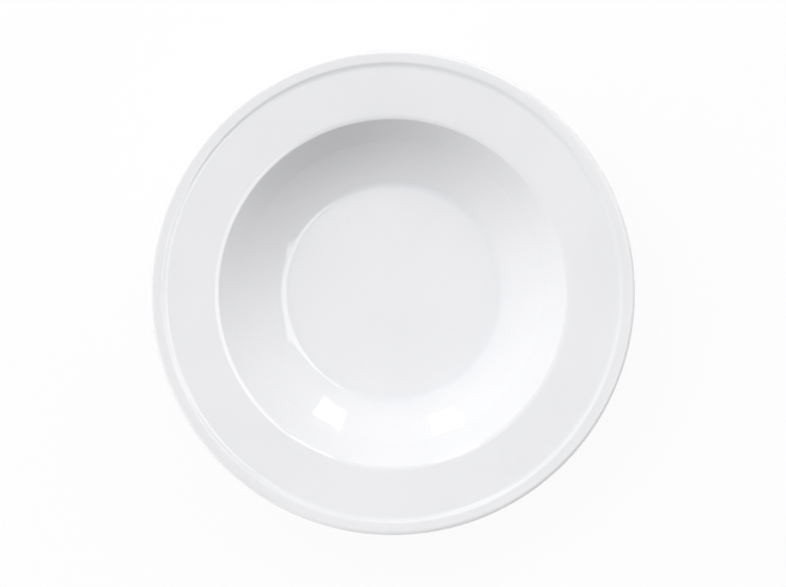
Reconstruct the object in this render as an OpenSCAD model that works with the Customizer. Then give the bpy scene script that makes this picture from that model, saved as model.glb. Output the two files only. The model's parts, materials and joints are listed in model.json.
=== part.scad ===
// Rimmed soup plate: a fired porcelain body under a skin of glaze, standing on a bare foot ring.
// Millimetres, +Z up, origin at the centre of the foot's bearing face.
// The sizes are those of the glazed plate. The body is the same outline, one glaze thickness in.

/* [Plate] */
// Diameter over the lip
plate_d = 240; // [210:1:280]
// Thickness of the glaze
glaze_t = 0.3; // [0.2:0.05:0.5]

/* [Well] */
// Diameter of the floor, to its corner with the wall
floor_d = 108.6; // [90:0.2:124]
// Diameter of the well, to the corner of its brow with the rim
well_d = 175.6; // [154:0.1:192]
// Depth of the floor below the brow
well_depth = 27.5; // [20:0.5:34]
// Thickness of the base under the floor
base_t = 5; // [4:0.1:7]
// Thickness of the wall
wall_t = 4.4; // [3:0.1:6]
// Radius where the floor turns into the wall
floor_round = 8.5; // [3:0.5:12]
// Radius of the curved lower wall
lower_wall_round = 64; // [30:1:70]
// Radius of the faint break between the curved lower wall and the straight upper wall
break_round = 20; // [5:1:30]
// Width of the sloping brow between the wall and the rim
brow_w = 1.85; // [1.2:0.05:3]
// Drop of the brow across its width
brow_drop = 0.53; // [0.3:0.01:0.9]
// Radius of the brow's inner edge, where the wall turns into it
brow_edge_round = 1.6; // [1:0.1:2.5]
// Radius where the brow turns into the rim
brow_round = 8; // [4:0.5:12]

/* [Rim] */
// Rise of the rim from the brow to the step
rim_rise = 1.8; // [0.5:0.1:6]
// Thickness of the rim
rim_t = 4.2; // [3:0.1:6]
// Width of the raised lip band, which slopes like the rim
lip_w = 6.15; // [4.5:0.05:10]
// Height of the raised lip band above the end of the rim
lip_rise = 0.95; // [0.5:0.05:2]
// Width of the sloping step up to the lip band
step_w = 1.75; // [1:0.05:4]
// Radius at the foot of the step
step_foot_round = 6; // [2:0.5:10]
// Radius at the top of the step
step_top_round = 3; // [1:0.5:6]
// Radius of the lip's upper edge
lip_edge_round = 2; // [1:0.1:3]
// Radius of the lip's lower edge
lip_under_round = 1.6; // [0.5:0.1:2.5]

/* [Foot] */
// Outer diameter of the bearing face
foot_d = 116; // [104:1:124]
// Width of the bearing face, corner to corner
foot_w = 4.8; // [3:0.1:8]
// Depth of the recess inside the foot ring
foot_h = 3; // [2:0.1:5]
// Lean of the foot ring's sides
foot_lean = 12; // [5:1:20]
// Radius of the bearing face's edges
foot_edge_round = 1; // [0.5:0.1:1.5]
// Radius where the foot ring meets the wall
foot_root_round = 3; // [1:0.5:5]
// Radius at the edge of the recess
recess_round = 2.5; // [1:0.1:4]
// Height of the glaze's wiped edge above the bearing face
glaze_line_h = 1.2; // [0.6:0.1:2]

/* [Hidden] */
$fn = 180;

plate_r = plate_d / 2;
foot_r = foot_d / 2;
floor_z = foot_h + base_t;
brow_z = floor_z + well_depth;
rim_end_z = brow_z + rim_rise;
// The glaze's outline would pass this far under the bearing face if the foot were not wiped bare
dipped_z = -glaze_t;
// Every arc is this much fuller than its radius, so that it crosses the two stretches that it joins
seam = 0.001;
// Corners of the lower wall and of the break, as shares of the wall's width and of its height
wall_shares = [[0.365, 0.204], [0.678, 0.539]];

floor_corner = [floor_d / 2, floor_z];
brow_corner = [well_d / 2, brow_z];
brow_edge = brow_corner - [brow_w, brow_drop];
function on_wall(share) = [
    floor_corner[0] + (brow_edge[0] - floor_corner[0]) * share[0],
    floor_corner[1] + (brow_edge[1] - floor_corner[1]) * share[1]
];

// Corners of the face from the centre to the end of the rim, their radii, and the thickness behind each stretch
face = [
    [0, floor_z],
    floor_corner,
    on_wall(wall_shares[0]),
    on_wall(wall_shares[1]),
    brow_edge,
    brow_corner,
    [plate_r - lip_w - step_w, rim_end_z]
];
face_rounds = [0, floor_round, lower_wall_round, break_round, brow_edge_round, brow_round, step_foot_round];
thickness = [base_t, wall_t, wall_t, wall_t, wall_t, rim_t];
// Number of the stretch of the face that is the rim
rim = len(face) - 2;

function unit(v) = v / norm(v);
function left_of(v) = [-v[1], v[0]];
function cross_z(u, v) = u[0] * v[1] - u[1] * v[0];
// Where the line through a along u meets the line through b along v
function meet(a, u, b, v) = a + u * cross_z(b - a, v) / cross_z(u, v);

function face_way(i) = unit(face[i + 1] - face[i]);
function behind_face(i) = face[i] - left_of(face_way(i)) * thickness[i];
// Corner of the back that lies behind corner i of the face
function back_corner(i) = meet(behind_face(i - 1), face_way(i - 1), behind_face(i), face_way(i));

lip_start = [plate_r - lip_w, rim_end_z + lip_rise];
lip_edge = meet(lip_start, face_way(rim), [plate_r, 0], [0, 1]);
lip_under = meet(behind_face(rim), face_way(rim), [plate_r, 0], [0, 1]);

foot_outer = [foot_r, dipped_z];
foot_inner = [foot_r - foot_w, dipped_z];
lean_out = [sin(foot_lean), cos(foot_lean)];
lean_in = [-sin(foot_lean), cos(foot_lean)];
recess_corner = meet([0, foot_h], [1, 0], foot_inner, lean_in);
// Where the foot ring's outer side meets the back of stretch i, and the stretch whose back it does meet
function root_on(i) = meet(behind_face(i), face_way(i), foot_outer, lean_out);
function root_stretch(i) = i == rim || root_on(i)[0] <= back_corner(i + 1)[0] ? i : root_stretch(i + 1);
root = root_stretch(1);

// Corners of the glazed outline, clockwise from the centre of the face, each with its radius
glazed_corners = [
    for (i = [0:rim + 1]) [face[i], face_rounds[i]],
    [lip_start, step_top_round],
    [lip_edge, lip_edge_round],
    [lip_under, lip_under_round],
    for (i = [rim:-1:root + 1]) [back_corner(i), face_rounds[i] + thickness[i]],
    [root_on(root), foot_root_round],
    [foot_outer, foot_edge_round + glaze_t],
    [foot_inner, foot_edge_round + glaze_t],
    [recess_corner, recess_round],
    [[0, foot_h], 0]
];

function before(list, i) = list[(i + len(list) - 1) % len(list)];
function after(list, i) = list[(i + 1) % len(list)];
function way_in(list, i) = unit(list[i][0] - before(list, i)[0]);
function way_out(list, i) = unit(after(list, i)[0] - list[i][0]);
function half_turn(list, i) = acos(min(way_in(list, i) * way_out(list, i), 1)) / 2;
function is_hollow(list, i) = cross_z(way_in(list, i), way_out(list, i)) > 0;

// Distance from a corner to the ends of its arc, and the part of it that the two stretches have room for
function reach(list, i) = list[i][1] * tan(half_turn(list, i));
function room(list, i, j) = norm(list[j][0] - list[i][0]) / max(reach(list, i) + reach(list, j), glaze_t);
function eased(list) = [
    for (i = [0:len(list) - 1])
        let (j = (i + 1) % len(list), h = (i + len(list) - 1) % len(list))
            [list[i][0], list[i][1] * min(room(list, h, i), room(list, i, j), 1)]
];

// The outline moved out by t all round, except along the axis of the plate
function side_out(a, b) = a[0] == 0 && b[0] == 0 ? [0, 0] : left_of(unit(b - a));
function grown(list, t) = [
    for (i = [0:len(list) - 1])
        let (
            m = side_out(before(list, i)[0], list[i][0]),
            n = side_out(list[i][0], after(list, i)[0]),
            bend = is_hollow(list, i) ? -t : t
        )
            [list[i][0] + (m + n) * t / (1 + m * n), list[i][1] == 0 ? 0 : max(list[i][1] + bend, 0)]
];

glazed_outline = eased(glazed_corners);
body_outline = grown(glazed_outline, -glaze_t);

// Area between the arc that rounds corner i and a point just past the corner
module corner_gap(list, i) {
    corner = list[i][0];
    radius = list[i][1];
    start = corner - way_in(list, i) * reach(list, i);
    end = corner + way_out(list, i) * reach(list, i);
    to_centre = unit(start + end - 2 * corner);
    centre = corner + to_centre * radius / cos(half_turn(list, i));
    difference() {
        polygon([corner - to_centre * glaze_t, start, centre, end]);
        translate(centre) circle(radius + seam);
    }
}

// Section bounded by an outline: hollow corners are filled to their arcs and the others cut back
module section(list) {
    rounded = [for (i = [0:len(list) - 1]) if (list[i][1] > 0) i];
    difference() {
        union() {
            polygon([for (corner = list) corner[0]]);
            for (i = rounded) if (is_hollow(list, i)) corner_gap(list, i);
        }
        for (i = rounded) if (!is_hollow(list, i)) corner_gap(list, i);
    }
}

// Both skins of glaze, wiped off the foot ring below the glaze line
module glaze_section() {
    difference() {
        section(glazed_outline);
        section(body_outline);
        translate([0, dipped_z]) square([plate_r, glaze_line_h - dipped_z]);
    }
}

// Space inside the foot ring, up to the middle of the base
module foot_well_section() {
    translate([0, dipped_z]) square([foot_r - foot_w / 2, foot_h + base_t / 2 - dipped_z]);
}

module porcelain_body() {
    color([0.93, 0.91, 0.87]) rotate_extrude() section(body_outline);
}

module outer_glaze() {
    color([0.96, 0.96, 0.97]) rotate_extrude() difference() {
        glaze_section();
        foot_well_section();
    }
}

module foot_well_glaze() {
    color([0.9, 0.91, 0.93]) rotate_extrude() intersection() {
        glaze_section();
        foot_well_section();
    }
}

porcelain_body();
outer_glaze();
foot_well_glaze();
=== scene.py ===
"""Rimmed soup plate: a porcelain body under two skins of glaze, lathed and set on a pale studio table."""
import json
import math
from collections import namedtuple

import bmesh
import bpy
from bpy.props import FloatProperty, FloatVectorProperty, PointerProperty
from mathutils import Matrix, Vector

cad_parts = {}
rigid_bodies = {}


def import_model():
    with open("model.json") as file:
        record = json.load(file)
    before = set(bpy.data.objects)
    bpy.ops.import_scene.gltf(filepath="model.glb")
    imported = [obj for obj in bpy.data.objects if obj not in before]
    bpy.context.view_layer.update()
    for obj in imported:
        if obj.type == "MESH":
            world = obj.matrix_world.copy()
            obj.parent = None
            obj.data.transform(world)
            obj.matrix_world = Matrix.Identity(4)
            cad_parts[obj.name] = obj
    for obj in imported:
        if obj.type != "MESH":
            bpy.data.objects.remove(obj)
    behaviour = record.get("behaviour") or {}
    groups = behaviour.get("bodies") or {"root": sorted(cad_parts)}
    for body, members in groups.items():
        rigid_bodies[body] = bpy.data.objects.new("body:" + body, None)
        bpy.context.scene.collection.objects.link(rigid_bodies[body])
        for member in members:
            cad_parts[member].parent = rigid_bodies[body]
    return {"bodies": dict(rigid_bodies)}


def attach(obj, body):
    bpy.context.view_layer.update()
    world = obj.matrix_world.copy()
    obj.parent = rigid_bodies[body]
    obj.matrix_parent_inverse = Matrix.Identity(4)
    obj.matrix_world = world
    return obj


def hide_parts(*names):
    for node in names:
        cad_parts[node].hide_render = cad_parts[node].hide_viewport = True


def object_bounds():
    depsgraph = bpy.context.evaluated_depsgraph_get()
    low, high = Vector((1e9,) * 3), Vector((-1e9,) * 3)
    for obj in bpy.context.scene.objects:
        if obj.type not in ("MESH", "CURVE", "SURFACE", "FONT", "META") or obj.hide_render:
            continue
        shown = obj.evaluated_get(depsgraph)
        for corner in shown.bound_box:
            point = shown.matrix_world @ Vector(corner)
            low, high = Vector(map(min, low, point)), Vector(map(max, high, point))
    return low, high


bl_info = {
    "name": "Rimmed Soup Plate",
    "version": (1, 0, 0),
    "blender": (4, 5, 0),
    "location": "3D View > Sidebar > Soup Plate",
    "description": "Lathes a glazed porcelain soup plate and sets it on a pale studio table",
    "category": "Add Mesh",
}

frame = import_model()
CAD_LOW, CAD_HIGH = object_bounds()
PLATE_BODY = next(iter(frame["bodies"]))
METRE = 1.0
MM = 0.001

# Corners of the lower wall and of the break, as shares of the wall's width and of its height
WALL_SHARES = ((0.365, 0.204), (0.678, 0.539))


def length(name, default, description):
    """A size for the panel."""
    return FloatProperty(name=name, default=default, description=description, unit="LENGTH", precision=5)


def angle(name, degrees, description):
    """An angle for the panel."""
    return FloatProperty(name=name, default=math.radians(degrees), description=description, subtype="ANGLE")


def colour(name, default, description):
    """A colour for the panel."""
    return FloatVectorProperty(name=name, default=default, description=description, subtype="COLOR", size=3)


def share(name, default, description):
    """A number from 0 to 1 for the panel."""
    return FloatProperty(name=name, default=default, description=description, min=0, max=1, subtype="FACTOR")


class PlateSizes(bpy.types.PropertyGroup):
    """Sizes of the glazed plate."""

    plate_d: length("Diameter", CAD_HIGH.x - CAD_LOW.x, "Diameter over the lip")
    glaze_t: length("Glaze", 0.3 * MM, "Thickness of the glaze")

    floor_d: length("Floor", 108.6 * MM, "Diameter of the floor, to its corner with the wall")
    well_d: length("Well", 175.6 * MM, "Diameter of the well, to the corner of its brow with the rim")
    well_depth: length("Depth", 27.5 * MM, "Depth of the floor below the brow")
    base_t: length("Base", 5 * MM, "Thickness of the base under the floor")
    wall_t: length("Wall", 4.4 * MM, "Thickness of the wall")
    floor_round: length("Floor round", 8.5 * MM, "Radius where the floor turns into the wall")
    lower_wall_round: length("Lower wall round", 64 * MM, "Radius of the curved lower wall")
    break_round: length("Break round", 20 * MM, "Radius of the break between the lower and upper wall")
    brow_w: length("Brow width", 1.85 * MM, "Width of the sloping brow between the wall and the rim")
    brow_drop: length("Brow drop", 0.53 * MM, "Drop of the brow across its width")
    brow_edge_round: length("Brow edge round", 1.6 * MM, "Radius where the wall turns into the brow")
    brow_round: length("Brow round", 8 * MM, "Radius where the brow turns into the rim")

    rim_rise: length("Rim rise", 1.8 * MM, "Rise of the rim from the brow to the step")
    rim_t: length("Rim", 4.2 * MM, "Thickness of the rim")
    lip_w: length("Lip band", 6.15 * MM, "Width of the raised lip band, which slopes like the rim")
    lip_rise: length("Lip rise", 0.95 * MM, "Height of the lip band above the end of the rim")
    step_w: length("Step", 1.75 * MM, "Width of the sloping step up to the lip band")
    step_foot_round: length("Step foot round", 6 * MM, "Radius at the foot of the step")
    step_top_round: length("Step top round", 3 * MM, "Radius at the top of the step")
    lip_edge_round: length("Lip edge round", 2 * MM, "Radius of the lip's upper edge")
    lip_under_round: length("Lip under round", 1.6 * MM, "Radius of the lip's lower edge")

    foot_d: length("Foot", 116 * MM, "Outer diameter of the bearing face")
    foot_w: length("Foot width", 4.8 * MM, "Width of the bearing face, corner to corner")
    foot_h: length("Recess", 3 * MM, "Depth of the recess inside the foot ring")
    foot_lean: angle("Foot lean", 12, "Lean of the foot ring's sides")
    foot_edge_round: length("Foot edge round", 1 * MM, "Radius of the bearing face's edges")
    foot_root_round: length("Foot root round", 3 * MM, "Radius where the foot ring meets the wall")
    recess_round: length("Recess round", 2.5 * MM, "Radius at the edge of the recess")
    glaze_line_h: length("Glaze line", 1.2 * MM, "Height of the glaze's wiped edge above the table")

    turning_r: length("Turning line", 76.4 * MM, "Radius of the turning line on the wall")
    turning_w: length("Turning line width", 1 * MM, "Width of the turning line")
    turning_h: length("Turning line height", 0.06 * MM, "Height of the turning line above the wall")


class PlateFinish(bpy.types.PropertyGroup):
    """Colours and gloss of the glaze and of the bare porcelain."""

    glaze: colour("Glaze", (0.840, 0.841, 0.856), "Colour of the glazed porcelain")
    cloud: colour("Cloud", (0.820, 0.822, 0.840), "Colour of the glaze's faint clouds")
    pool: colour("Pooled glaze", (0.790, 0.806, 0.834), "Colour where the glaze has run thick")
    thin: colour("Thin glaze", (0.860, 0.852, 0.842), "Colour where the glaze is thin over an edge")
    speck: colour("Speck", (0.50, 0.45, 0.38), "Colour of the few iron specks in the glaze")
    glaze_roughness: share("Glaze roughness", 0.022, "Roughness of the glaze")

    biscuit: colour("Bare porcelain", (0.79, 0.765, 0.71), "Colour of the bare foot ring")
    pore: colour("Pore", (0.60, 0.565, 0.51), "Colour of the pores of the bare foot ring")
    rubbed: colour("Rubbed", (0.47, 0.46, 0.44), "Grey that tables have rubbed onto the foot ring")
    biscuit_roughness: share("Bare roughness", 0.78, "Roughness of the bare foot ring")


class StageSettings(bpy.types.PropertyGroup):
    """The table, the camera and the lamps."""

    floor_w: length("Floor width", 8 * METRE, "Width of the floor")
    floor_colour: colour("Floor colour", (0.88, 0.88, 0.88), "Colour of the floor")
    floor_white: share("Floor white", 0.92, "Share of plain white in what the camera sees of the floor")
    ambient: FloatProperty(name="Ambient", default=0.04, min=0, description="Light from all round")

    camera_h: length("Camera height", 1.6 * METRE, "Height of the camera above the lip")
    view_w: length("View width", 388.4 * MM, "Width that the camera sees at the lip")
    camera_x: length("Camera x", 0.3 * MM, "How far the camera stands to the right of the plate's axis")
    camera_y: length("Camera y", -0.44 * MM, "How far the camera stands behind the plate's axis")


def left_of(way):
    """The direction a quarter turn to the left."""
    return Vector((-way.y, way.x))


def meet(a, u, b, v):
    """Where the line through a along u meets the line through b along v."""
    return a + u * ((b - a).cross(v) / u.cross(v))


class Section:
    """The plate's section, worked out from its sizes. Its points are (radius, height)."""

    def __init__(self, sizes):
        self.sizes = sizes
        self.plate_r = sizes.plate_d / 2
        floor_z = sizes.foot_h + sizes.base_t
        brow_z = floor_z + sizes.well_depth
        rim_end_z = brow_z + sizes.rim_rise
        self.floor_corner = Vector((sizes.floor_d / 2, floor_z))
        brow_corner = Vector((sizes.well_d / 2, brow_z))
        self.brow_edge = brow_corner - Vector((sizes.brow_w, sizes.brow_drop))
        self.step_foot = Vector((self.plate_r - sizes.lip_w - sizes.step_w, rim_end_z))
        self.lip_start = Vector((self.plate_r - sizes.lip_w, rim_end_z + sizes.lip_rise))
        centre = Vector((0, floor_z))
        on_wall = [self.on_wall(*shares) for shares in WALL_SHARES]
        self.face = [centre, self.floor_corner, *on_wall, self.brow_edge, brow_corner, self.step_foot]
        wall_rounds = [sizes.floor_round, sizes.lower_wall_round, sizes.break_round]
        brow_rounds = [sizes.brow_edge_round, sizes.brow_round]
        self.face_rounds = [0, *wall_rounds, *brow_rounds, sizes.step_foot_round]
        # Number of the stretch of the face that is the rim
        self.rim = len(self.face) - 2
        # The thickness behind each stretch: the floor's, the wall's and the brow's, and the rim's
        self.thickness = [sizes.base_t, *[sizes.wall_t] * (self.rim - 1), sizes.rim_t]

    def on_wall(self, across, up):
        """A point of the wall, from its shares of the wall's width and of its height."""
        span = self.brow_edge - self.floor_corner
        return self.floor_corner + Vector((span.x * across, span.y * up))

    def face_way(self, i):
        """Direction of stretch i of the face."""
        return (self.face[i + 1] - self.face[i]).normalized()

    def behind(self, i):
        """A point of the back, behind the start of stretch i of the face."""
        return self.face[i] - left_of(self.face_way(i)) * self.thickness[i]

    def back_corner(self, i):
        """Corner of the back that lies behind corner i of the face."""
        return meet(self.behind(i - 1), self.face_way(i - 1), self.behind(i), self.face_way(i))

    def corners(self):
        """Corners of the glazed outline with their radii, clockwise from the centre of the face."""
        sizes = self.sizes
        dipped_z = -sizes.glaze_t
        foot_outer = Vector((sizes.foot_d / 2, dipped_z))
        foot_inner = foot_outer - Vector((sizes.foot_w, 0))
        foot_round = sizes.foot_edge_round + sizes.glaze_t
        lean_out = Vector((math.sin(sizes.foot_lean), math.cos(sizes.foot_lean)))
        lean_in = Vector((-lean_out.x, lean_out.y))
        recess_corner = meet(Vector((0, sizes.foot_h)), Vector((1, 0)), foot_inner, lean_in)
        rim_way = self.face_way(self.rim)
        side, up = Vector((self.plate_r, 0)), Vector((0, 1))
        backs = []
        for i in range(self.rim, 0, -1):
            root = meet(self.behind(i), self.face_way(i), foot_outer, lean_out)
            if i > 1 and self.back_corner(i).x > root.x:
                backs.append((self.back_corner(i), self.face_rounds[i] + self.thickness[i]))
            else:
                break
        return [
            *zip(self.face, self.face_rounds),
            (self.lip_start, sizes.step_top_round),
            (meet(self.lip_start, rim_way, side, up), sizes.lip_edge_round),
            (meet(self.behind(self.rim), rim_way, side, up), sizes.lip_under_round),
            *backs,
            (root, sizes.foot_root_round),
            (foot_outer, foot_round),
            (foot_inner, foot_round),
            (recess_corner, sizes.recess_round),
            (Vector((0, sizes.foot_h)), 0),
        ]


# Steps between the rows of a lathed surface: along an arc, along a straight stretch, and next to its ends
ARC_TURN = math.radians(4)
ARC_STEP = 0.5 * MM
STRAIGHT_STEP = 2.5 * MM
END_STEP = 0.2 * MM
# Two rows nearer to each other than this are one row
SAME_PLACE = 0.02 * MM
# A straight stretch shorter than this has no rows between its ends
SHORT_STRETCH = 3 * END_STEP
# Every arc has at least this many steps
LEAST_ARC_STEPS = 2
# A hidden surface keeps one row in this many
HIDDEN_STEP = 3
# Steps round the edge of a skin of glaze, across the turning line, and round the plate
EDGE_STEPS = 8
TURNING_STEPS = 12
SEGMENTS = 240

# Sizes of what shows in the glaze
CLOUD_SIZE = 60 * MM
FLOOR_POOL_SPREAD = 6 * MM
STEP_POOL_SPREAD = 2 * MM
SPECK_SPACING = 5 * MM
SPECK_RADIUS = 0.16 * MM
RIPPLE_SIZE = 24 * MM
RIPPLE_HEIGHT = 0.006 * MM
PEEL_SIZE = 1.6 * MM
PEEL_HEIGHT = 0.0003 * MM
PINHOLE_SPACING = 7 * MM
PINHOLE_RADIUS = 0.2 * MM
PINHOLE_DEPTH = 0.04 * MM
# The share of cells that hold a speck or a pinhole, on the face and in the foot well
FACE_SPECK_SHARE = 0.0006
FOOT_WELL_SPECK_SHARE = 0.03
# The width over which the glaze is thin at the lip, as a share of the radius of its upper edge
THIN_EDGE_SHARE = 0.5
# The noise levels at which a cloud starts and is full
CLOUD_EDGES = (0.4, 0.7)
# How far pooled glaze, thin glaze and a speck change the colour
POOL_TINT_SHARE = 0.35
THIN_TINT_SHARE = 0.6
SPECK_TINT_SHARE = 0.8
# What clouds and specks add to the roughness
CLOUD_ROUGHNESS = 0.01
SPECK_ROUGHNESS = 0.2
GLAZE_IOR = 1.5

# Sizes of what shows on the bare foot ring
GRAIN_SIZE = 0.35 * MM
GRAIN_HEIGHT = 0.02 * MM
PORE_SPACING = 0.9 * MM
PORE_RADIUS = 0.14 * MM
PORE_DEPTH = 0.03 * MM
MARK_SIZE = 11 * MM
GRINDING_SIZE = 0.22 * MM
GRINDING_HEIGHT = 0.012 * MM
# The share of cells that hold a pore
PORE_SHARE = 0.5
# The height over which the ground face of the foot ends, as a share of the radius of its edge
BEARING_EDGE_SHARE = 0.25
# The noise levels at which the dark grain and the rubbed marks start and are full
GRAIN_EDGES = (0.35, 0.75)
MARK_EDGES = (0.5, 0.72)
# How far the grain, the pores, the rubbing and the grinding in it change the colour
GRAIN_TINT_SHARE = 0.25
PORE_TINT_SHARE = 0.5
RUBBED_TINT_SHARE = 0.25
GRINDING_TINT_SHARE = 0.4
# What the grain adds to the roughness and the rubbing takes from it
GRAIN_ROUGHNESS = 0.12
RUBBED_SMOOTHNESS = 0.15
BISCUIT_IOR = 1.45

# What the camera sees of the floor and of the world
PLAIN_WHITE = {"Color": (1, 1, 1, 1), "Strength": 1.0}
# The camera sees as far as this many widths of the floor
CLIP_WIDTHS = 2
# Lamps by azimuth and elevation from the plate in degrees, and distance, width and height in metres. A lamp
# faces the plate, or the way opposite to its facing azimuth and elevation if it has them. A mirrored lamp
# only shows in the glaze, and every other lamp only lights the plate
LAMP_FIELDS = "name azimuth elevation distance width height brightness mirrored facing"
Lamp = namedtuple("Lamp", LAMP_FIELDS, defaults=(None,))
LAMP_TARGET = Vector((0, 0, 30 * MM))
LAMPS = (
    Lamp("back_panel", 100, 48, 3.0, 4.0, 1.6, 2.15, False),
    Lamp("left_panel", 180, 18, 3.0, 4.0, 2.2, 2.0, False),
    Lamp("left_high_panel", 165, 50, 3.0, 3.6, 1.4, 1.5, False),
    Lamp("right_panel", 34, 22, 3.0, 3.4, 2.2, 1.9, False),
    Lamp("ceiling_panel", 90, 89.9, 3.0, 3.2, 1.0, 2.32, False),
    Lamp("front_card", 268, -0.6, 0.8, 1.0, 0.03, 22.0, False),
    Lamp("skylight", 0, 62, 1.5, 1.1, 1.0, 3.3, True),
    Lamp("left_window", 112.5, 17.8, 1.684, 0.34, 0.59, 4.2, True, (108, 0)),
    Lamp("right_window", 63.4, 19.8, 1.65, 0.44, 0.65, 4.2, True, (24, 0)),
    Lamp("left_strip", 112, 64, 1.5, 0.18, 0.1, 6.0, True),
    Lamp("right_strip", 62.5, 64, 1.5, 0.17, 0.1, 6.0, True),
)


def eased(corners):
    """The corners with their radii cut back where a stretch has no room for the arcs at its ends."""
    places = [place for place, _ in corners]
    reaches = [0.0]
    for before, (corner, radius), after in zip(places, corners[1:], places[2:]):
        reaches.append(radius * math.tan((corner - before).angle(after - corner) / 2))
    reaches.append(0.0)
    rooms = [1.0]
    for start, end, reach, next_reach in zip(places, places[1:], reaches, reaches[1:]):
        rooms.append((end - start).length / max(reach + next_reach, END_STEP))
    rooms.append(1.0)
    return [(place, radius * min(1, *rooms[i:i + 2])) for i, (place, radius) in enumerate(corners)]


def arc_rows(before, corner, after, radius):
    """Rows along the arc that rounds a corner. A row is a point of the outline and the way out of it."""
    way_in = (corner - before).normalized()
    way_out = (after - corner).normalized()
    turn = math.atan2(way_in.cross(way_out), way_in.dot(way_out))
    side = math.copysign(1, turn)
    start = corner - way_in * radius * math.tan(abs(turn) / 2)
    centre = start + left_of(way_in) * radius * side
    by_turn = math.ceil(abs(turn) / ARC_TURN)
    by_length = math.ceil(abs(turn) * radius / ARC_STEP)
    steps = max(LEAST_ARC_STEPS, by_turn, by_length)
    rows = []
    for step in range(steps + 1):
        out = Matrix.Rotation(turn * step / steps, 2) @ left_of(way_in)
        rows.append((centre - out * radius * side, out))
    return rows


def straight_rows(start, end, out):
    """Rows between the ends of a straight stretch."""
    span = (end - start).length
    if span < SHORT_STRETCH:
        return []
    inner = span - 2 * END_STEP
    steps = max(1, math.ceil(inner / STRAIGHT_STEP))
    places = [END_STEP + inner * step / steps for step in range(steps + 1)]
    return [(start.lerp(end, place / span), out) for place in places]


def outline_rows(corners):
    """Rows along the whole outline, from the centre of the face to the centre of the back."""
    up = Vector((0, 1))
    rows = [(corners[0][0], up)]
    for (before, _), (corner, radius), (after, _) in zip(corners, corners[1:], corners[2:]):
        arc = arc_rows(before, corner, after, radius)
        if (arc[0][0] - rows[-1][0]).length < SAME_PLACE:
            arc = arc[1:]
        rows += straight_rows(rows[-1][0], arc[0][0], arc[0][1]) + arc
    end = corners[-1][0]
    rows += straight_rows(rows[-1][0], end, -up)
    return rows + [(end, -up)]


def skin_ends(rows, height):
    """The rows of the two stretches of outline that lie above a height, each ending or starting at it."""
    low = [i for i, (point, _) in enumerate(rows) if point.y < height]

    def crossing(inside, outside):
        """The row where the stretch between two rows passes the height."""
        way = (height - inside[0].y) / (outside[0].y - inside[0].y)
        return inside[0].lerp(outside[0], way), inside[1]

    first, last = low[0], low[-1]
    outer = [*rows[:first], crossing(rows[first - 1], rows[first])]
    inner = [crossing(rows[last + 1], rows[last]), *rows[last + 1:]]
    return outer, inner


def thinned(rows):
    """Every few rows and both ends, for a surface that is hidden."""
    return [*rows[:-1:HIDDEN_STEP], rows[-1]]


def moved_in(rows, depth):
    """The rows moved in by a depth, square to the outline."""
    return [(point - out * depth, out) for point, out in rows]


def edge_rows(row, side, radius):
    """Rows round the edge of a skin. Side is 1 from face to back, and -1 from back to face."""
    point, out = row
    centre = point - out * radius
    turns = [-math.pi * step / EDGE_STEPS for step in range(EDGE_STEPS + 1)]
    ways = [Matrix.Rotation(turn, 2) @ (out * side) for turn in turns]
    return [(centre + way * radius, way) for way in ways]


def row_past(rows, radius):
    """The number of the first row past a radius."""
    return next(i for i, (point, _) in enumerate(rows) if point.x > radius)


def row_at(rows, radius):
    """The row at a radius of the face."""
    past = row_past(rows, radius)
    (inner, out), (outer, next_out) = rows[past - 1:past + 1]
    way = (radius - inner.x) / (outer.x - inner.x)
    return inner.lerp(outer, way), out.lerp(next_out, way).normalized()


def with_turning_line(rows, sizes):
    """The rows with a turning line raised on the wall."""
    start = sizes.turning_r - sizes.turning_w / 2
    line = []
    for step in range(TURNING_STEPS + 1):
        across = step / TURNING_STEPS
        place, out = row_at(rows, start + sizes.turning_w * across)
        line.append((place + out * sizes.turning_h * (1 - math.cos(math.tau * across)) / 2, out))
    first = row_past(rows, start - SAME_PLACE)
    last = row_past(rows, start + sizes.turning_w + SAME_PLACE)
    return [*rows[:first], *line, *rows[last:]]


def lathe(name, rows):
    """Turns rows round the plate's axis into a closed mesh, and gives its object."""
    made = bmesh.new()
    turns = [math.tau * step / SEGMENTS for step in range(SEGMENTS)]
    rings = []
    for point, _ in rows:
        if point.x < SAME_PLACE:
            rings.append([made.verts.new((0, 0, point.y))] * SEGMENTS)
        else:
            ring = [(point.x * math.cos(turn), point.x * math.sin(turn), point.y) for turn in turns]
            rings.append([made.verts.new(place) for place in ring])
    for ring, following in zip(rings, rings[1:]):
        for step in range(SEGMENTS):
            around = (ring[step - 1], following[step - 1], following[step], ring[step])
            made.faces.new(dict.fromkeys(around)).smooth = True
    mesh = bpy.data.meshes.new(name)
    made.to_mesh(mesh)
    made.free()
    lathed = bpy.data.objects.new(name, mesh)
    bpy.context.scene.collection.objects.link(lathed)
    return lathed


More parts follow.
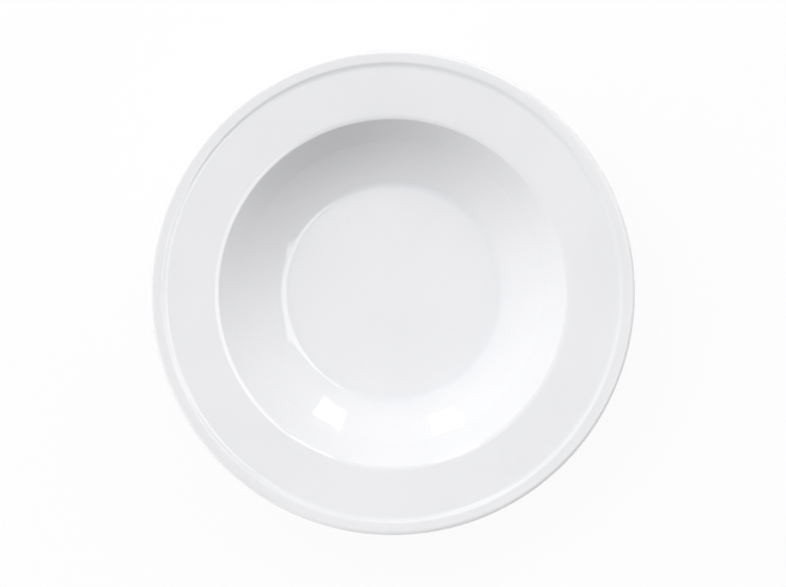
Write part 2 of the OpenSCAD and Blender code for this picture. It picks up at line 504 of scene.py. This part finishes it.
class Value:
    """A socket of a shader. Arithmetic on a number that varies over a surface adds Math nodes."""

    def __init__(self, shader, socket):
        self.shader = shader
        self.socket = socket

    def output(self, name):
        """Another output of the same node."""
        return Value(self.shader, self.socket.node.outputs[name])

    def math(self, operation, *values):
        """One Math node."""
        return self.shader.node("ShaderNodeMath", {"operation": operation}, dict(enumerate(values)))

    def __add__(self, other):
        return self.math("ADD", self, other)

    def __radd__(self, other):
        return self.math("ADD", other, self)

    def __sub__(self, other):
        return self.math("SUBTRACT", self, other)

    def __rsub__(self, other):
        return self.math("SUBTRACT", other, self)

    def __mul__(self, other):
        return self.math("MULTIPLY", self, other)

    def __rmul__(self, other):
        return self.math("MULTIPLY", other, self)

    def root(self):
        """Its square root."""
        return self.math("SQRT", self)

    def larger(self, other):
        """The larger of it and another number."""
        return self.math("MAXIMUM", self, other)

    def rising(self, low, high):
        """0 up to low, 1 from high on, and a smooth rise between them."""
        ends = {"Value": self, "From Min": low, "From Max": high}
        return self.shader.node("ShaderNodeMapRange", {"interpolation_type": "SMOOTHSTEP"}, ends)

    def near(self, middle, spread):
        """1 at a middle value, falling smoothly to 0 at a spread from it."""
        return 1 - self.math("ABSOLUTE", self - middle).rising(0, spread)


class Shader:
    """The nodes of a material or of the world."""

    def __init__(self, owner, output="ShaderNodeOutputMaterial"):
        owner.use_nodes = True
        self.tree = owner.node_tree
        self.tree.nodes.clear()
        self.end = output

    def node(self, kind, settings=None, sockets=None, output=0):
        """Adds a node with its settings and the values or links of its sockets, and gives an output."""
        made = self.tree.nodes.new(kind)
        for name, value in (settings or {}).items():
            setattr(made, name, value)
        for name, value in (sockets or {}).items():
            if isinstance(value, Value):
                self.tree.links.new(value.socket, made.inputs[name])
            else:
                made.inputs[name].default_value = value
        return Value(self, made.outputs[output]) if made.outputs else None

    def mix(self, factor, first, second):
        """A colour between two colours."""
        a, b = (end if isinstance(end, Value) else (*end, 1) for end in (first, second))
        # The node's sockets for colours are 6 and 7, and its output for colours is 2
        return self.node("ShaderNodeMix", {"data_type": "RGBA"}, {0: factor, 6: a, 7: b}, output=2)

    def noise(self, place, size, detail):
        """Cloudy noise from 0 to 1."""
        sockets = {"Vector": place, "Scale": 1 / size, "Detail": detail}
        return self.node("ShaderNodeTexNoise", {}, sockets)

    def ring_noise(self, radius, size):
        """Noise from 0 to 1 that runs in rings round the plate's axis."""
        sockets = {"W": radius, "Scale": 1 / size}
        return self.node("ShaderNodeTexNoise", {"noise_dimensions": "1D"}, sockets)

    def dots(self, place, spacing, radius, filled):
        """1 inside dots of a radius, in the filled share of the cells, and 0 outside them."""
        cells = self.node("ShaderNodeTexVoronoi", {}, {"Vector": place, "Scale": 1 / spacing})
        chosen = self.node("ShaderNodeSeparateColor", {}, {0: cells.output("Color")})
        size = radius / spacing
        return (1 - cells.rising(size / 2, size)) * chosen.math("LESS_THAN", chosen, filled)

    def surface(self, shader):
        """Ends the tree in a surface."""
        self.node(self.end, {}, {"Surface": shader})


def new_shader(name):
    """A new material and its empty shader."""
    material = bpy.data.materials.new(name)
    return material, Shader(material)


def glaze_material(name, section, finish, speck_share):
    """Clear glaze on white porcelain: glossy, a little uneven, cooler where it has run thick."""
    sizes = section.sizes
    material, shader = new_shader(name)
    place = shader.node("ShaderNodeTexCoord", output="Object")
    x = shader.node("ShaderNodeSeparateXYZ", {}, {0: place})
    y = x.output("Y")
    radius = (x * x + y * y).root()

    clouds = shader.noise(place, CLOUD_SIZE, detail=3)
    floor_pool = radius.near(section.floor_corner.x, FLOOR_POOL_SPREAD)
    step_pool = radius.near(section.step_foot.x, STEP_POOL_SPREAD)
    pools = floor_pool.larger(step_pool)
    thin_w = sizes.lip_edge_round * THIN_EDGE_SHARE
    thin_edge = radius.rising(section.plate_r - thin_w, section.plate_r)
    specks = shader.dots(place, SPECK_SPACING, SPECK_RADIUS, speck_share)
    tint = shader.mix(clouds.rising(*CLOUD_EDGES), finish.glaze, finish.cloud)
    tint = shader.mix(pools * POOL_TINT_SHARE, tint, finish.pool)
    tint = shader.mix(thin_edge * THIN_TINT_SHARE, tint, finish.thin)
    tint = shader.mix(specks * SPECK_TINT_SHARE, tint, finish.speck)

    ripples = shader.noise(place, RIPPLE_SIZE, detail=1)
    peel = shader.noise(place, PEEL_SIZE, detail=1)
    pinholes = shader.dots(place, PINHOLE_SPACING, PINHOLE_RADIUS, speck_share)
    height = ripples * RIPPLE_HEIGHT + peel * PEEL_HEIGHT - pinholes * PINHOLE_DEPTH
    normal = shader.node("ShaderNodeBump", {}, {"Height": height, "Distance": METRE})
    roughness = finish.glaze_roughness + clouds * CLOUD_ROUGHNESS + specks * SPECK_ROUGHNESS
    shader.surface(shader.node("ShaderNodeBsdfPrincipled", {}, {
        "Base Color": tint,
        "Roughness": roughness,
        "Normal": normal,
        "IOR": GLAZE_IOR,
    }))
    return material


def biscuit_material(name, section, finish):
    """Bare fired porcelain: matt and fine-grained, ground flat and rubbed grey where it stands."""
    material, shader = new_shader(name)
    place = shader.node("ShaderNodeTexCoord", output="Object")
    x = shader.node("ShaderNodeSeparateXYZ", {}, {0: place})
    y, z = x.output("Y"), x.output("Z")
    radius = (x * x + y * y).root()

    bearing = 1 - z.rising(0, section.sizes.foot_edge_round * BEARING_EDGE_SHARE)
    grain = shader.noise(place, GRAIN_SIZE, detail=4)
    pores = shader.dots(place, PORE_SPACING, PORE_RADIUS, PORE_SHARE)
    marks = shader.noise(place, MARK_SIZE, detail=5)
    grinding = shader.ring_noise(radius, GRINDING_SIZE)
    rubbed = marks.rising(*MARK_EDGES) * bearing
    tint = shader.mix(grain.rising(*GRAIN_EDGES) * GRAIN_TINT_SHARE, finish.biscuit, finish.pore)
    tint = shader.mix(pores * PORE_TINT_SHARE, tint, finish.pore)
    tint = shader.mix(rubbed * (RUBBED_TINT_SHARE + grinding * GRINDING_TINT_SHARE), tint, finish.rubbed)

    height = grain * GRAIN_HEIGHT + grinding * bearing * GRINDING_HEIGHT - pores * PORE_DEPTH
    normal = shader.node("ShaderNodeBump", {}, {"Height": height, "Distance": METRE})
    roughness = finish.biscuit_roughness + grain * GRAIN_ROUGHNESS - rubbed * RUBBED_SMOOTHNESS
    shader.surface(shader.node("ShaderNodeBsdfPrincipled", {}, {
        "Base Color": tint,
        "Roughness": roughness,
        "Normal": normal,
        "IOR": BISCUIT_IOR,
    }))
    return material


def seen_plainly(shader):
    """1 for what the camera, a reflection or a view through glass sees, and 0 for what lights the object."""
    path = shader.node("ShaderNodeLightPath", output="Is Camera Ray")
    return path.larger(path.output("Is Glossy Ray")).larger(path.output("Is Transmission Ray"))


def floor_material(stage):
    """A pale floor that looks white and keeps the plate's shadow."""
    material, shader = new_shader("pale_floor")
    lit = shader.node("ShaderNodeBsdfDiffuse", {}, {"Color": (*stage.floor_colour, 1)})
    white = shader.node("ShaderNodeEmission", {}, PLAIN_WHITE)
    seen = seen_plainly(shader) * stage.floor_white
    shader.surface(shader.node("ShaderNodeMixShader", {}, {0: seen, 1: lit, 2: white}))
    return material


def make_floor(stage):
    """The table that the plate stands on."""
    made = bmesh.new()
    bmesh.ops.create_grid(made, x_segments=1, y_segments=1, size=stage.floor_w / 2)
    mesh = bpy.data.meshes.new("floor")
    made.to_mesh(mesh)
    made.free()
    floor = bpy.data.objects.new("floor", mesh)
    bpy.context.scene.collection.objects.link(floor)
    mesh.materials.append(floor_material(stage))


def light_world(stage):
    """Soft light from all round, in front of plain white."""
    world = bpy.data.worlds.new("studio")
    bpy.context.scene.world = world
    shader = Shader(world, "ShaderNodeOutputWorld")
    soft = shader.node("ShaderNodeBackground", {}, {**PLAIN_WHITE, "Strength": stage.ambient})
    white = shader.node("ShaderNodeBackground", {}, PLAIN_WHITE)
    shader.surface(shader.node("ShaderNodeMixShader", {}, {0: seen_plainly(shader), 1: soft, 2: white}))


def aim(azimuth, elevation):
    """The direction from the plate at an azimuth and an elevation in degrees."""
    around, up = math.radians(azimuth), math.radians(elevation)
    return Vector((math.cos(around) * math.cos(up), math.sin(around) * math.cos(up), math.sin(up)))


def hang_lamp(lamp):
    """Hangs a lamp. Its brightness is what its face shows, so its energy grows with its area."""
    data = bpy.data.lights.new(lamp.name, "AREA")
    data.shape = "RECTANGLE"
    data.size, data.size_y = lamp.width, lamp.height
    data.energy = lamp.brightness * math.pi * lamp.width * lamp.height
    hung = bpy.data.objects.new(lamp.name, data)
    bpy.context.scene.collection.objects.link(hung)
    way = aim(lamp.azimuth, lamp.elevation)
    hung.location = LAMP_TARGET + way * lamp.distance
    faced = aim(*lamp.facing) if lamp.facing else way
    hung.rotation_euler = (-faced).to_track_quat("-Z", "Y").to_euler()
    hung.visible_camera = False
    hung.visible_glossy = lamp.mirrored
    hung.visible_diffuse = not lamp.mirrored


def place_camera(stage, section):
    """Looks straight down on the plate through a long lens."""
    data = bpy.data.cameras.new("camera")
    data.lens = data.sensor_width * stage.camera_h / stage.view_w
    data.clip_end = stage.floor_w * CLIP_WIDTHS
    camera = bpy.data.objects.new("camera", data)
    bpy.context.scene.collection.objects.link(camera)
    camera.location = (stage.camera_x, stage.camera_y, section.lip_start.y + stage.camera_h)
    bpy.context.scene.camera = camera


def add_piece(name, rows, material, node):
    """Adds a lathed piece in place of a node of the part."""
    piece = lathe(name, rows)
    piece.data.materials.append(material)
    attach(piece, PLATE_BODY)
    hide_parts(node)


def rows_of(section):
    """Rows of the glazed outline: the outer skin's, the bare foot's and the foot well's."""
    rows = outline_rows(eased(section.corners()))
    height = section.sizes.glaze_line_h + section.sizes.glaze_t / 2
    outer, inner = skin_ends(rows, height)
    return outer, [row for row in rows if row[0].y < height], inner


class SOUP_PLATE_OT_porcelain_body(bpy.types.Operator):
    """Add the fired porcelain body with its bare foot ring"""

    bl_idname = "soup_plate.porcelain_body"
    bl_label = "Porcelain Body"

    def execute(self, context):
        section = Section(context.scene.soup_plate_sizes)
        outer, bare, inner = rows_of(section)
        rows = moved_in([*thinned(outer), *bare, *thinned(inner)], section.sizes.glaze_t)
        material = biscuit_material("bare_porcelain", section, context.scene.soup_plate_finish)
        add_piece("fired_body", rows, material, "porcelain_body")
        return {"FINISHED"}


class SOUP_PLATE_OT_outer_glaze(bpy.types.Operator):
    """Add the skin of glaze over the face, the rim and the back"""

    bl_idname = "soup_plate.outer_glaze"
    bl_label = "Outer Glaze"

    def execute(self, context):
        section = Section(context.scene.soup_plate_sizes)
        outer, _, _ = rows_of(section)
        thickness = section.sizes.glaze_t
        face = with_turning_line(outer, section.sizes)
        edge = edge_rows(outer[-1], 1, thickness / 2)
        back = moved_in(thinned(outer), thickness)
        rows = [*face[:-1], *edge, *reversed(back[:-1])]
        material = glaze_material("clear_glaze", section, context.scene.soup_plate_finish, FACE_SPECK_SHARE)
        add_piece("outer_glaze_skin", rows, material, "outer_glaze")
        return {"FINISHED"}


class SOUP_PLATE_OT_foot_well_glaze(bpy.types.Operator):
    """Add the disc of glaze inside the foot ring"""

    bl_idname = "soup_plate.foot_well_glaze"
    bl_label = "Foot Well Glaze"

    def execute(self, context):
        section = Section(context.scene.soup_plate_sizes)
        _, _, inner = rows_of(section)
        thickness = section.sizes.glaze_t
        back = moved_in(thinned(inner), thickness)
        edge = edge_rows(inner[0], -1, thickness / 2)
        rows = [*reversed(back[1:]), *edge, *inner[1:]]
        finish = context.scene.soup_plate_finish
        material = glaze_material("foot_well_clear_glaze", section, finish, FOOT_WELL_SPECK_SHARE)
        add_piece("foot_well_glaze_skin", rows, material, "foot_well_glaze")
        return {"FINISHED"}


class SOUP_PLATE_OT_stage(bpy.types.Operator):
    """Add the table, the lamps and the camera"""

    bl_idname = "soup_plate.stage"
    bl_label = "Studio Stage"

    def execute(self, context):
        stage = context.scene.soup_plate_stage
        make_floor(stage)
        light_world(stage)
        for lamp in LAMPS:
            hang_lamp(lamp)
        place_camera(stage, Section(context.scene.soup_plate_sizes))
        context.scene.view_settings.view_transform = "Standard"
        return {"FINISHED"}


OPERATORS = (
    SOUP_PLATE_OT_porcelain_body,
    SOUP_PLATE_OT_outer_glaze,
    SOUP_PLATE_OT_foot_well_glaze,
    SOUP_PLATE_OT_stage,
)


class SOUP_PLATE_PT_panel(bpy.types.Panel):
    """Sizes, finish and stage of the plate, and what builds them"""

    bl_idname = "SOUP_PLATE_PT_panel"
    bl_label = "Soup Plate"
    bl_space_type = "VIEW_3D"
    bl_region_type = "UI"
    bl_category = "Soup Plate"

    def draw(self, context):
        scene = context.scene
        for group in (scene.soup_plate_sizes, scene.soup_plate_finish, scene.soup_plate_stage):
            box = self.layout.box()
            for name in group.__annotations__:
                box.prop(group, name)
        for operator in OPERATORS:
            self.layout.operator(operator.bl_idname)


GROUPS = {
    "soup_plate_sizes": PlateSizes,
    "soup_plate_finish": PlateFinish,
    "soup_plate_stage": StageSettings,
}


def register():
    """Registers the classes and the settings that the scene keeps."""
    for made in (*GROUPS.values(), *OPERATORS, SOUP_PLATE_PT_panel):
        bpy.utils.register_class(made)
    for name, group in GROUPS.items():
        setattr(bpy.types.Scene, name, PointerProperty(type=group))


def unregister():
    """Takes out what register put in."""
    for name in GROUPS:
        delattr(bpy.types.Scene, name)
    for made in (SOUP_PLATE_PT_panel, *reversed(OPERATORS), *GROUPS.values()):
        bpy.utils.unregister_class(made)


def main():
    """Builds the plate and its stage."""
    register()
    bpy.ops.soup_plate.porcelain_body()
    bpy.ops.soup_plate.outer_glaze()
    bpy.ops.soup_plate.foot_well_glaze()
    bpy.ops.soup_plate.stage()


if __name__ == "__main__":
    main()
